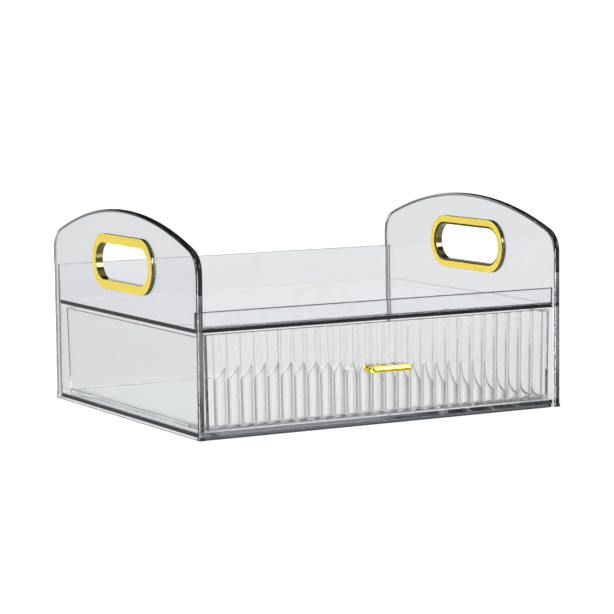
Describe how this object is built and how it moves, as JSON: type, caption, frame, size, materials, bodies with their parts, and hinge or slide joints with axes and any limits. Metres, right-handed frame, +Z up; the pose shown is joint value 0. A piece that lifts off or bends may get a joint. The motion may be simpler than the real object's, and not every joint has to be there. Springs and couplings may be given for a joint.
{
  "type": "desk organizer",
  "caption": "Clear plastic desk organizer: open tray with arched sides and gold-rimmed hand holes over a fluted pull-out drawer with a gold bar handle.",
  "frame": {"origin": "on the surface the organizer stands on, under the middle of its outline with the drawer closed, handle included", "axes": "+X to the right along the width, +Y from the drawer's front towards the back, +Z up"},
  "size_m": [0.3014, 0.259, 0.154],
  "materials": {
    "clear_plastic": "clear, polished",
    "drawer_plastic": "clear, polished, faint cool tint",
    "gold_trim": "polished, gold-coloured plating",
    "foot_rubber": "soft, clear, slightly cloudy",
    "screw_steel": "bright zinc"
  },
  "bodies": {
    "case": {"left_side_panel": "clear_plastic", "right_side_panel": "clear_plastic", "base_panel": "clear_plastic", "back_panel": "clear_plastic", "shelf_panel": "clear_plastic", "front_lip": "clear_plastic", "left_outer_ring": "gold_trim", "left_inner_ring": "gold_trim", "right_outer_ring": "gold_trim", "right_inner_ring": "gold_trim", "front_left_foot": "foot_rubber", "front_right_foot": "foot_rubber", "back_left_foot": "foot_rubber", "back_right_foot": "foot_rubber"},
    "drawer": {"drawer_box": "drawer_plastic", "drawer_handle": "gold_trim", "handle_screws": "screw_steel"}
  },
  "joints": [
    {"name": "drawer_slide", "type": "slide", "parent": "case", "child": "drawer", "axis": [0, -1, 0], "range_m": [0, 0.16]}
  ]
}
